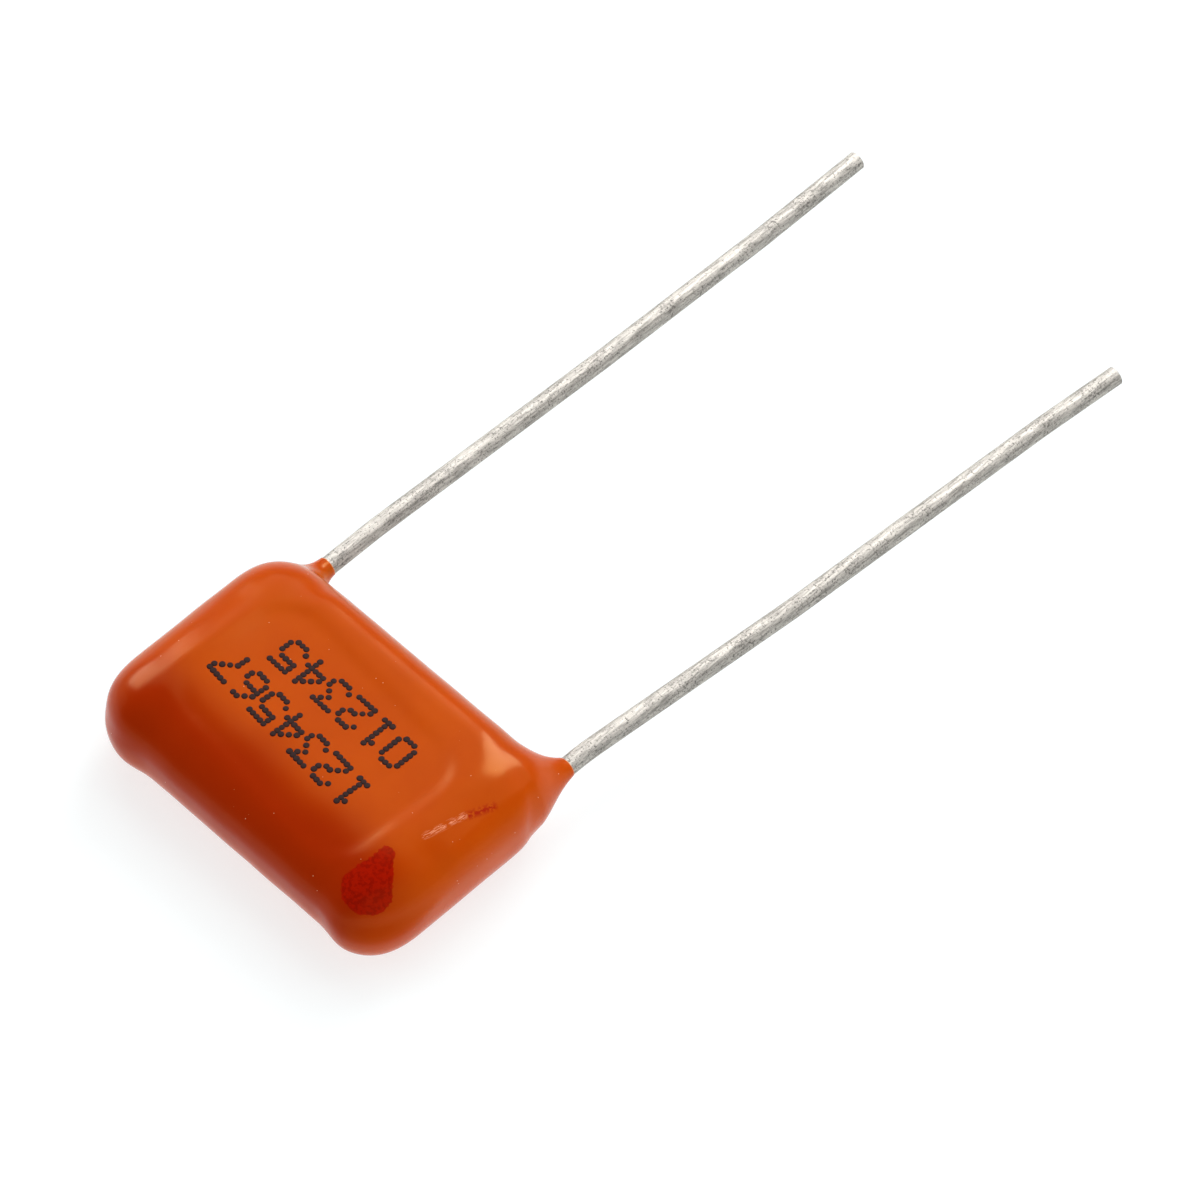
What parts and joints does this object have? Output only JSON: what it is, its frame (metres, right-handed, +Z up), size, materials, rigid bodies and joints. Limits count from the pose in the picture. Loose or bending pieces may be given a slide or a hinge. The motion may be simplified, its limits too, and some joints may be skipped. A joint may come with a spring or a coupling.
{
  "type": "polypropylene film capacitor",
  "caption": "Radial film capacitor: a flattened film winding with sprayed end contacts in a glossy orange dipped epoxy coat, lying flat, with long stiff tinned wire leads.",
  "frame": {"origin": "on the flat underside of the coat, below the middle of the winding and halfway between the two leads", "axes": "+X from the left lead to the right lead, +Y from the body towards the cut lead tips, +Z up, away from the surface it lies on"},
  "size_m": [0.0132, 0.0308, 0.0036],
  "materials": {
    "dipped_epoxy": "gloss",
    "metallised_film": "satin",
    "sprayed_zinc": "matte",
    "tinned_wire": "satin"
  },
  "bodies": {
    "root": {"epoxy_coat": "dipped_epoxy", "film_winding": "metallised_film", "end_contact_left": "sprayed_zinc", "end_contact_right": "sprayed_zinc", "lead_left": "tinned_wire", "lead_right": "tinned_wire"}
  },
  "joints": []
}
